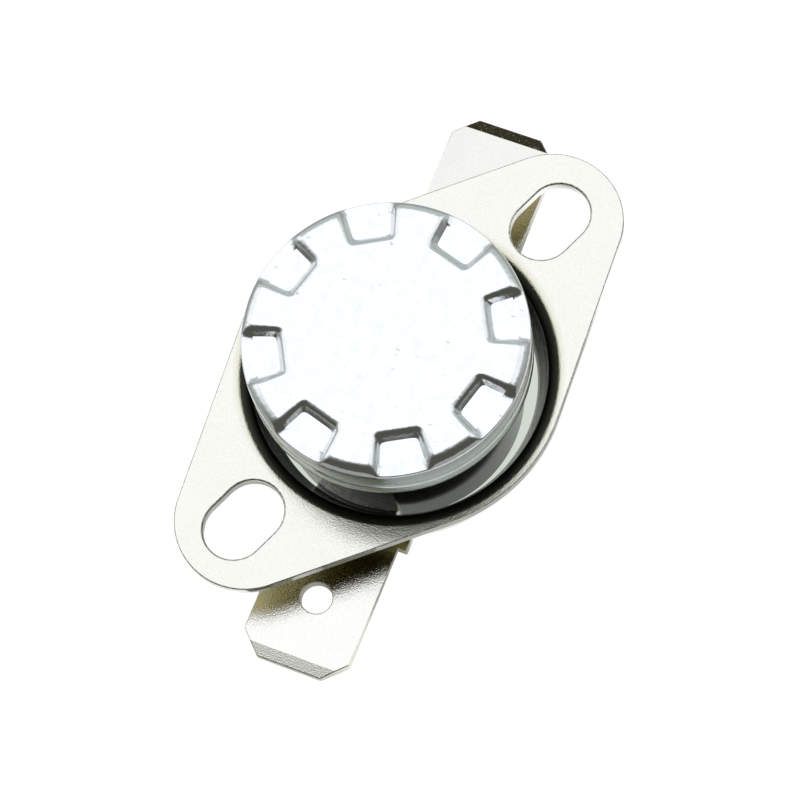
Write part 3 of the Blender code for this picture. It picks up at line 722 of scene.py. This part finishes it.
def tab_blank(tab):
    """The strip's outline with its shoulders, thick as it is, before its tip is thinned."""
    top = tab.under + tab.thickness
    half = 0.5 * tab.width
    obj = block("tab_front", (tab.shoulder_end, -half, tab.under), (tab.reach, half, top))
    edit(obj, "EDGE")
    select(obj, "edges", lambda e: is_upright(e) and e.verts[0].co.x > tab.reach - NEAR)
    bpy.ops.mesh.bevel(offset=tab.corner, segments=1, affect="EDGES")
    bpy.ops.mesh.select_mode(type="FACE")
    select(obj, "faces", lambda f: f.normal.x < -0.9)
    for width, end in ((tab.shoulder_width, tab.shoulder_start), (tab.root_width, tab.root_start)):
        bpy.ops.mesh.extrude_region_move()
        bm = bmesh.from_edit_mesh(obj.data)
        now = max(v.co.y for v in bm.verts if v.select)
        bpy.ops.transform.resize(value=(1.0, 0.5 * width / now, 1.0), center_override=(0.0, 0.0, 0.0))
        at = next(v.co.x for v in bm.verts if v.select)
        bpy.ops.mesh.extrude_region_move(TRANSFORM_OT_translate={"value": (end - at, 0.0, 0.0)})
    return done(obj)


def thin_tip(obj, tab):
    """Slices a shallow wedge off each face at the tip."""
    slope = tab.drop / tab.bevel
    for face in (-1, 1):
        level = tab.under + tab.thickness if face > 0 else tab.under
        edit(obj, "FACE", "SELECT")
        start = (tab.reach - tab.bevel, 0.0, level)
        bpy.ops.mesh.bisect(plane_co=start, plane_no=(slope, 0.0, face), use_fill=True, clear_outer=True)
        done(obj)


class THERMOSTAT_OT_tabs(bpy.types.Operator):
    """Blank the two push-on tabs."""

    bl_idname = "thermostat.tabs"
    bl_label = "Tabs"

    def execute(self, context):
        tab, rivet = given("tab"), given("rivet")
        front = tab_blank(tab)
        tidy(front)
        thin_tip(front, tab)
        past = 2.0 * tab.thickness
        low, high = tab.under - past, tab.under + past
        cut(front, peg("latch", (tab.hole_at, 0.0), tab.hole, low, high, 96))
        cut(front, peg("rivet_hole", (rivet.at, 0.0), rivet.hole, low, high, 48))
        apply(front, "BEVEL", width=tab.edge, segments=3, limit_method="ANGLE", angle_limit=math.radians(35))
        tidy(front, 8.0)
        back = front.copy()
        back.data = front.data.copy()
        back.name = back.data.name = "tab_back"
        context.scene.collection.objects.link(back)
        edit(back)
        select(back, "verts", lambda v: v.co.x > tab.hole_at + 2.0 * tab.hole)
        bpy.ops.transform.translate(value=(tab.longer, 0.0, 0.0))
        done(back)
        turn_about_axis(back, math.pi)
        dress(front, tab_finish("near_tab_plating", 1.0), "root", "tab_nickel", "terminal_front")
        # Painted shade: the far tab is the same strip painted a little darker
        dress(back, tab_finish("far_tab_plating", 0.92), "root", "tab_nickel", "terminal_back")
        # The tabs' sheared edges get the same painted shade
        cut_edge = edge_finish()
        tip = tab.reach + tab.longer - tab.bevel
        for obj in (front, back):
            obj.data.materials.append(cut_edge)
            obj.data.materials.append(shaded_tip_finish())
            for face in obj.data.polygons:
                if TAB_EDGE[0] < face.normal.z < TAB_EDGE[1]:
                    face.material_index = 1
                # The far tab's thinned tip gets the painted shade
                elif face.center.x < -tip and TAB_TIP[0] < face.normal.z < TAB_TIP[1]:
                    face.material_index = 2
        return {"FINISHED"}


# Rivets


class THERMOSTAT_OT_rivets(bpy.types.Operator):
    """Turn the two rivets and spread their tails."""

    bl_idname = "thermostat.rivets"
    bl_label = "Rivets"

    def execute(self, context):
        rivet = given("rivet")
        finish = plain_metal("rivet_brass_finish", "brass", 0.3)
        for name, side, seat in (("front", 1, rivet.front_seat), ("back", -1, rivet.back_seat)):
            crown = seat + rivet.head_height
            profile = [(0.0, crown)]
            profile += arc((rivet.head - rivet.round, crown - rivet.round), rivet.round, 90, 0, 5)
            profile += [
                (rivet.head, seat),
                (rivet.shank, seat),
                (rivet.shank, rivet.tail_top),
                (rivet.tail, rivet.tail_top),
            ]
            low = rivet.tail_bottom + rivet.round
            profile += arc((rivet.tail - rivet.round, low), rivet.round, 0, -90, 5)
            profile += [
                (rivet.dimple, rivet.tail_bottom),
                (rivet.dimple_floor, rivet.tail_bottom + rivet.dimple_depth),
                (0.0, rivet.tail_bottom + rivet.dimple_depth),
            ]
            obj = drawn_up(f"spread_rivet_{name}", profile, 64)
            tidy(obj)
            turn_about_axis(obj, 0.0, (side * rivet.at, 0.0))
            dress(obj, finish, "root", "rivet_brass", f"rivet_{name}")
        return {"FINISHED"}


# Finishes


# Distances from the collar's axis over which the bracket's plating changes: painted shade in the collar and
# over its bend, a sandier grain, and a painted highlight line
COLLAR_PAINTED_SHADE = (8.2 * MM, 8.9 * MM)
BEND_PAINTED_SHADE = (8.9 * MM, 9.4 * MM)
SANDY = (9.1 * MM, 9.6 * MM)
# Painted highlight: a thin bright line painted round the collar's mouth
PAINTED_HIGHLIGHT_LINE = (8.3 * MM, 8.335 * MM, 8.37 * MM)  # a thin bright line: its start, its crest and its end


class Nodes:
    """The node tree of a material or a world, whose nodes are added one at a time."""

    def __init__(self, owner):
        owner.use_nodes = True
        self.tree = owner.node_tree

    def add(self, kind, values=None, **inputs):
        """A node with its settings and its inputs, each a value or another node's output."""
        node = self.tree.nodes.new(kind)
        for key, value in (values or {}).items():
            setattr(node, key, value)
        for key, value in inputs.items():
            self.feed(node.inputs[key], value)
        return node

    def feed(self, socket, value):
        if isinstance(value, bpy.types.NodeSocket):
            self.tree.links.new(value, socket)
        else:
            socket.default_value = value

    def number(self, kind, operation, *values):
        """What a math node makes of its inputs, given in order."""
        made = self.add(kind, {"operation": operation})
        for socket, value in zip(made.inputs, values):
            self.feed(socket, value)
        return made.outputs["Value"]

    def spread(self, value, low, high, to_low=0.0, to_high=1.0, ease="LINEAR"):
        """A value mapped from one range to another."""
        made = self.add("ShaderNodeMapRange", {"interpolation_type": ease}, Value=value)
        for key, number in zip(("From Min", "From Max", "To Min", "To Max"), (low, high, to_low, to_high)):
            made.inputs[key].default_value = number
        return made.outputs["Result"]

    def eased(self, value, low, high):
        """A value eased from nothing at low to one at high."""
        return self.spread(value, low, high, ease="SMOOTHSTEP")

    def blend(self, factor, first, second, way="MIX"):
        """A colour between two others, or their product."""
        made = self.add("ShaderNodeMix", {"data_type": "RGBA", "blend_type": way}, Factor=factor)
        self.feed(made.inputs[6], first)
        self.feed(made.inputs[7], second)
        return made.outputs[2]

    def show(self, kind, factor, first, second):
        """Ends the tree in a shader between two others."""
        mix = self.add("ShaderNodeMixShader", Fac=factor)
        self.feed(mix.inputs[1], first.outputs[0])
        self.feed(mix.inputs[2], second.outputs[0])
        self.add(kind, Surface=mix.outputs[0])


class Surface(Nodes):
    """A finish of the object, with its patterns in the object's own space."""

    def __init__(self, name, color, rough, metal):
        self.material = bpy.data.materials.new(name)
        super().__init__(self.material)
        self.shader = self.tree.nodes["Principled BSDF"]
        for key, value in (("Base Color", rgba(color)), ("Roughness", rough), ("Metallic", metal)):
            self.shader.inputs[key].default_value = value
        self.place = self.add("ShaderNodeTexCoord").outputs["Object"]

    def noise(self, scale, detail, stretch=(1.0, 1.0, 1.0), rough=0.5):
        """A noise pattern, with its scale per metre."""
        mapping = self.add("ShaderNodeMapping", Vector=self.place, Scale=stretch)
        way = mapping.outputs["Vector"]
        made = self.add("ShaderNodeTexNoise", Vector=way, Scale=scale, Detail=detail, Roughness=rough)
        return made.outputs["Fac"]

    def mottled(self, scale, detail, low, high, first, second):
        """Two colours in a noise pattern, with the part of its range over which they change."""
        return self.blend(self.spread(self.noise(scale, detail), low, high), first, second)

    def sanded(self, color):
        """A colour with the fine dark and bright grain of sand-blasted plating."""
        grain = self.mottled(15000.0, 2.0, 0.3, 0.7, (0.945, 0.945, 0.94, 1.0), (1.045, 1.045, 1.045, 1.0))
        return self.blend(1.0, color, grain, "MULTIPLY")

    def paint(self, color):
        self.feed(self.shader.inputs["Base Color"], color)

    def bump(self, height, strength, distance):
        made = self.add("ShaderNodeBump", Height=height, Strength=strength, Distance=distance)
        self.feed(self.shader.inputs["Normal"], made.outputs["Normal"])


def rgba(color, gain=1.0):
    return (*(gain * c for c in color), 1.0)


def cap_finish():
    """Bare aluminium: satin, with fine pits and faint smudges; the drawn wall is painted darker as shade,
    most of all just under the shoulder.
    """
    looks, cap = given("finish"), given("cap")
    surface = Surface("pressed_aluminium", looks.cap, looks.cap_rough, 1.0)
    smudge = surface.spread(surface.noise(1400.0, 6.0, rough=0.65), 0.4, 0.75)
    speck = surface.spread(surface.noise(2600.0, 3.0, (1.0, 0.6, 1.0)), 0.7, 0.76)
    height = surface.add("ShaderNodeSeparateXYZ", Vector=surface.place).outputs["Z"]
    flat = surface.spread(height, cap.top - 0.96 * cap.shoulder, cap.top - 0.78 * cap.shoulder)
    # Painted shade: the drawn wall is darker than the top, and darkest just under the shoulder
    upper = surface.spread(height, cap.top - 2.6 * cap.shoulder, cap.top - cap.shoulder)
    wall = surface.blend(upper, rgba(looks.skirt, 1.12), rgba(looks.skirt, 0.6))
    worn = surface.blend(smudge, rgba(looks.cap), rgba(looks.cap, 0.9))
    surface.paint(surface.blend(speck, surface.blend(flat, wall, worn), rgba(looks.cap, 0.6)))
    rough = surface.spread(smudge, 0.0, 1.0, looks.cap_rough, looks.cap_rough + 0.06)
    surface.feed(surface.shader.inputs["Roughness"], rough)
    surface.bump(surface.noise(5000.0, 4.0), 1.0, 0.000012)
    return surface.material


def nickel_finish():
    """Nickel plate over rolled sheet: warm, with a fine sandy grain; painted shade darkens it over the
    collar's bend and inside the collar, and a thin painted highlight runs round the mouth.
    """
    looks, bracket = given("finish"), given("bracket")
    surface = Surface("sandy_nickel", looks.nickel, looks.nickel_rough, 1.0)
    middle = (-bracket.shift_x, -bracket.shift_y, 0.0)
    level = surface.add("ShaderNodeMapping", Vector=surface.place, Location=middle, Scale=(1.0, 1.0, 0.0))
    distance = surface.number("ShaderNodeVectorMath", "LENGTH", level.outputs["Vector"])
    flat = surface.mottled(300.0, 3.0, 0.3, 0.7, rgba(looks.nickel), rgba(looks.nickel, 0.97))
    # Painted shade: khaki over the collar's bend, near black inside the collar
    bent = surface.blend(surface.spread(distance, *BEND_PAINTED_SHADE), rgba(looks.bend), flat)
    drawn = surface.blend(surface.spread(distance, *COLLAR_PAINTED_SHADE), rgba(looks.collar), bent)
    # Painted highlight: a thin bright line round the mouth
    start, crest, end = PAINTED_HIGHLIGHT_LINE
    rising, falling = surface.spread(distance, start, crest), surface.spread(distance, end, crest)
    ring = surface.number("ShaderNodeMath", "MULTIPLY", rising, falling)
    surface.paint(surface.sanded(surface.blend(ring, drawn, rgba(looks.nickel))))
    grain = surface.spread(distance, *SANDY, 0.6, 0.35)
    surface.bump(surface.noise(12000.0, 3.0), grain, 0.00002)
    return surface.material


def tab_finish(name, gain):
    """Nickel-plated strip, a little smoother than the bracket; a gain under one paints a copy darker as
    shade.
    """
    looks = given("finish")
    surface = Surface(name, looks.tab, looks.tab_rough, 1.0)
    worn = surface.mottled(300.0, 3.0, 0.3, 0.7, rgba(looks.tab, gain), rgba(looks.tab, 0.97 * gain))
    surface.paint(surface.sanded(worn))
    surface.bump(surface.noise(13000.0, 3.0), 1.0, 0.0000105)
    return surface.material


def case_finish():
    """Black phenolic, glossy, with a faint mottle."""
    looks = given("finish")
    surface = Surface("black_phenolic", looks.case, looks.case_rough, 0.0)
    surface.shader.inputs["Specular IOR Level"].default_value = 0.3
    surface.paint(surface.mottled(1200.0, 4.0, 0.35, 0.7, rgba(looks.case), rgba(looks.case, 1.8)))
    surface.bump(surface.noise(2500.0, 3.0), 0.1, 0.00003)
    return surface.material


def mottled_finish(name, color, rough, metal, mottle, grain):
    """A finish in two shades under a fine bump, given as its scale, detail, strength and distance."""
    surface = Surface(name, color, rough, metal)
    surface.paint(surface.mottled(*mottle))
    scale, detail, strength, distance = grain
    surface.bump(surface.noise(scale, detail), strength, distance)
    return surface.material


def edge_finish():
    """The bracket's sheared edges: the same plate, painted darker as shade along the rounded edges, with torn
    lines.
    """
    color = given("finish").cut
    torn = (5000.0, 3.0, 0.35, 0.65, rgba(color, 0.6), rgba(color, 1.3))
    return mottled_finish("sheared_edge", color, 0.35, 1.0, torn, (9000.0, 3.0, 0.6, 0.00004))


def shaded_tip_finish():
    """The far tab's tip: painted shade, near black and brown, with bright specks."""
    looks = given("finish")
    specks = (13000.0, 2.0, 0.64, 0.74, rgba(looks.tarnish), rgba(looks.tab, 0.6))
    return mottled_finish("tarnished_tip", looks.tarnish, 0.4, 1.0, specks, (9000.0, 3.0, 0.6, 0.00004))


def underside_finish():
    """The bracket's lower face: yellower than the upper one, and darker with painted shade."""
    color = given("finish").underside
    cloud = (400.0, 3.0, 0.3, 0.7, rgba(color), rgba(color, 0.85))
    return mottled_finish("yellowed_underside", color, 0.12, 1.0, cloud, (14000.0, 2.0, 1.0, 0.00001))


def ceramic_finish():
    """Unglazed ceramic: matt and finely pitted."""
    color = given("finish").ceramic
    pits = (5000.0, 3.0, 0.4, 0.75, rgba(color), rgba(color, 0.82))
    return mottled_finish("unglazed_ceramic", color, 0.55, 0.0, pits, (9000.0, 2.0, 0.3, 0.00004))


def plain_metal(name, key, rough):
    """A rolled or turned metal with fine lines of its making."""
    color = getattr(given("finish"), key)
    surface = Surface(name, color, rough, 1.0)
    lines = surface.noise(4000.0, 3.0, (1.0, 0.08, 1.0))
    satin = surface.spread(lines, 0.3, 0.7, rough - 0.08, rough + 0.1)
    surface.feed(surface.shader.inputs["Roughness"], satin)
    surface.paint(surface.mottled(600.0, 3.0, 0.35, 0.65, rgba(color), rgba(color, 0.85)))
    surface.bump(lines, 0.15, 0.00002)
    return surface.material


class THERMOSTAT_OT_inner(bpy.types.Operator):
    """Give the hidden pieces their finishes."""

    bl_idname = "thermostat.inner"
    bl_label = "Inner pieces"

    def execute(self, context):
        ceramic = ceramic_finish()
        silver = plain_metal("silver_contact_metal", "silver", 0.25)
        finishes = {
            "guide_plate": ceramic,
            "transfer_pin": ceramic,
            "bimetal_disc": plain_metal("rolled_bimetal", "bimetal", 0.35),
            "contact_arm": plain_metal("spring_bronze", "bronze", 0.3),
            "fixed_contact_bridge": plain_metal("bridge_brass", "brass", 0.3),
            "fixed_contact": silver,
            "moving_contact": silver,
        }
        for name, finish in finishes.items():
            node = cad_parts[name]
            node.data.materials.clear()
            node.data.materials.append(finish)
        return {"FINISHED"}


# Stage


# Distances from the axis over which the floor's painted light and shade change, where it is seen and where
# the metal mirrors it
UNDER_SEEN = (7.9 * MM, 8.05 * MM)
UNDER = (8.2 * MM, 9.2 * MM)
GLOWING = (11.5 * MM, 14.0 * MM)
BEYOND = (15.5 * MM, 19.0 * MM)

# Soft lamps: azimuth, elevation, half angles where each is full and where it ends, colour
SOFT_LAMPS = (
    (212.0, 68.0, 19.0, 33.0, (1.07, 1.10, 1.21)),
    (132.0, 46.0, 14.0, 30.0, (0.94, 0.96, 1.0)),
    (265.0, 36.0, 14.0, 32.0, (0.98, 1.0, 1.05)),
)


def floor_finish(stage):
    """A pale floor that the camera and the metal see, with the object's shadow kept on it, and painted light
    and shade in rings round the axis.
    """
    material = bpy.data.materials.new("pale_floor")
    nodes = Nodes(material)
    nodes.tree.nodes.clear()
    distance = nodes.number(
        "ShaderNodeVectorMath", "LENGTH", nodes.add("ShaderNodeTexCoord").outputs["Object"]
    )

    def either(first, second):
        return nodes.number("ShaderNodeMath", "MAXIMUM", first, second)

    def over(start, end):
        return nodes.eased(distance, start, end)

    # Painted light and shade that the metal sees: a glow under the case, dimmer beside it, a bright ring
    # further out and darker beyond
    beside = nodes.blend(over(*GLOWING), rgba(stage.mirrored), rgba(stage.glow))
    reach = nodes.blend(over(*BEYOND), beside, rgba(stage.beyond))
    under = nodes.blend(over(*UNDER), rgba(stage.shaded), reach)
    # Painted shadow: ambient occlusion dims that glow beside the object
    open_sky = nodes.add("ShaderNodeAmbientOcclusion", {"samples": 8}, Distance=1.5 * MM)
    shade = nodes.eased(open_sky.outputs["AO"], 0.0, 1.0)
    mirrored = nodes.blend(either(shade, over(*reversed(UNDER))), (0.0, 0.0, 0.0, 1.0), under)
    # Painted shadow: the floor that the camera sees is darker just under the case
    shown = nodes.blend(over(*UNDER_SEEN), rgba(stage.shaded), rgba(stage.glow))
    ray = nodes.add("ShaderNodeLightPath").outputs
    direct = either(ray["Is Camera Ray"], ray["Is Transmission Ray"])
    glow = nodes.add("ShaderNodeEmission", Color=nodes.blend(direct, mirrored, shown))
    lit = nodes.add("ShaderNodeBsdfDiffuse", Color=rgba(stage.seen))
    both = nodes.add("ShaderNodeAddShader")
    nodes.feed(both.inputs[0], lit.outputs[0])
    nodes.feed(both.inputs[1], glow.outputs[0])
    plain = nodes.add("ShaderNodeBsdfDiffuse", Color=rgba(stage.floor))
    nodes.show("ShaderNodeOutputMaterial", either(direct, ray["Is Glossy Ray"]), plain, both)
    return material


def studio_world(stage):
    """Soft light: a grey back wall, a dark front and three soft lamps."""
    world = bpy.data.worlds.new("studio")
    nodes = Nodes(world)
    nodes.tree.nodes.clear()
    way = nodes.add("ShaderNodeTexCoord").outputs["Generated"]

    def facing(azimuth, elevation):
        """How far the light's direction points to a place in the sky."""
        return nodes.number("ShaderNodeVectorMath", "DOT_PRODUCT", way, direction(azimuth, elevation))

    backward = nodes.eased(facing(stage.back_azimuth, 0.0), -0.45, 0.2)
    light = nodes.blend(backward, rgba(stage.front), rgba(stage.back))
    for azimuth, elevation, full, end, color in SOFT_LAMPS:
        toward = facing(math.radians(azimuth), math.radians(elevation))
        lamp = nodes.eased(toward, math.cos(math.radians(end)), math.cos(math.radians(full)))
        light = nodes.blend(lamp, light, rgba(color))
    lit = nodes.add("ShaderNodeBackground", Color=light)
    white = nodes.add("ShaderNodeBackground", Color=(1.0, 1.0, 1.0, 1.0))
    seen = nodes.add("ShaderNodeLightPath").outputs["Is Camera Ray"]
    nodes.show("ShaderNodeOutputWorld", seen, lit, white)
    return world


def direction(azimuth, elevation):
    """The way from the target to a place in the sky, given in radians."""
    level = math.cos(elevation)
    return Vector((level * math.cos(azimuth), level * math.sin(azimuth), math.sin(elevation)))


def studio_camera(stage):
    """The camera, from its target, its direction, its distance and its roll."""
    back = direction(stage.azimuth, stage.elevation)
    level = (-back).cross(Vector((0.0, 0.0, 1.0))).normalized()
    upward = level.cross(-back)
    right = level * math.cos(stage.roll) + upward * math.sin(stage.roll)
    up = back.cross(right)
    lens = bpy.data.cameras.new("studio_camera")
    lens.lens = stage.lens
    lens.sensor_width = 36.0
    lens.clip_start = 0.005
    lens.clip_end = 10.0
    camera = bpy.data.objects.new("studio_camera", lens)
    place = Matrix((right, up, back)).transposed().to_4x4()
    target = Vector((stage.target_x, stage.target_y, stage.target_z))
    place.translation = target + back * stage.distance
    camera.matrix_world = place
    bpy.context.scene.collection.objects.link(camera)
    bpy.context.scene.camera = camera


class THERMOSTAT_OT_stage(bpy.types.Operator):
    """Set up the floor, the light and the camera."""

    bl_idname = "thermostat.stage"
    bl_label = "Stage"

    def execute(self, context):
        stage = given("stage")
        bpy.ops.mesh.primitive_plane_add(size=4.0)
        floor = started("floor")
        floor.data.materials.append(floor_finish(stage))
        context.scene.world = studio_world(stage)
        studio_camera(stage)
        context.scene.view_settings.view_transform = "Standard"
        return {"FINISHED"}


OPERATORS = (
    THERMOSTAT_OT_cap,
    THERMOSTAT_OT_case,
    THERMOSTAT_OT_bracket,
    THERMOSTAT_OT_tabs,
    THERMOSTAT_OT_rivets,
    THERMOSTAT_OT_inner,
    THERMOSTAT_OT_stage,
)


class THERMOSTAT_PT_panel(bpy.types.Panel):
    """Lists the thermostat's pieces and their settings."""

    bl_idname = "THERMOSTAT_PT_panel"
    bl_label = "Thermostat"
    bl_space_type = "VIEW_3D"
    bl_region_type = "UI"
    bl_category = "Thermostat"

    def draw(self, context):
        for operator in OPERATORS:
            self.layout.operator(operator.bl_idname)
        for name, settings in SETTINGS.items():
            box = self.layout.box()
            box.label(text=settings.__doc__)
            for key in settings.__annotations__:
                box.prop(given(name), key)


def register():
    for name, settings in SETTINGS.items():
        bpy.utils.register_class(settings)
        setattr(bpy.types.Scene, f"thermostat_{name}", bpy.props.PointerProperty(type=settings))
    for kind in (*OPERATORS, THERMOSTAT_PT_panel):
        bpy.utils.register_class(kind)


def unregister():
    for kind in reversed((*OPERATORS, THERMOSTAT_PT_panel)):
        bpy.utils.unregister_class(kind)
    for name, settings in SETTINGS.items():
        delattr(bpy.types.Scene, f"thermostat_{name}")
        bpy.utils.unregister_class(settings)


def main():
    register()
    for operator in OPERATORS:
        getattr(bpy.ops.thermostat, operator.bl_idname.split(".")[1])()


if __name__ == "__main__":
    main()
